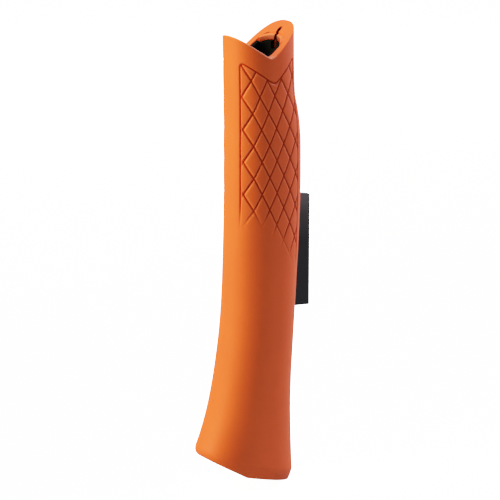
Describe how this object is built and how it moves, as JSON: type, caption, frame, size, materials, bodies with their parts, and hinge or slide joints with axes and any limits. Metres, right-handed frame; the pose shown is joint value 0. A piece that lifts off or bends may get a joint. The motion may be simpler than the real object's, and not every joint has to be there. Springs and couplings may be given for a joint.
{
  "type": "tool handle grip",
  "caption": "Slip-on moulded rubber tool grip with quilted side panels, a V-cut mouth, a flared slanted butt, a lined blind socket for the tang and a flat plate along the spine.",
  "frame": {"origin": "middle of the flat floor of the tang socket, on the socket's axis", "axes": "+Z along the socket, out of the mouth; +Y towards the spine and its plate; -Y towards the front and the flared toe; X is the thickness, and the part is the same on both sides of X = 0"},
  "size_m": [0.032, 0.0608, 0.2147],
  "materials": {
    "orange_rubber": "matte moulded rubber with a fine satin grain",
    "black_liner": "matte black moulded nylon",
    "black_plate": "satin black"
  },
  "bodies": {
    "root": {"grip_skin": "orange_rubber", "socket_liner": "black_liner", "spine_plate": "black_plate"}
  },
  "joints": []
}
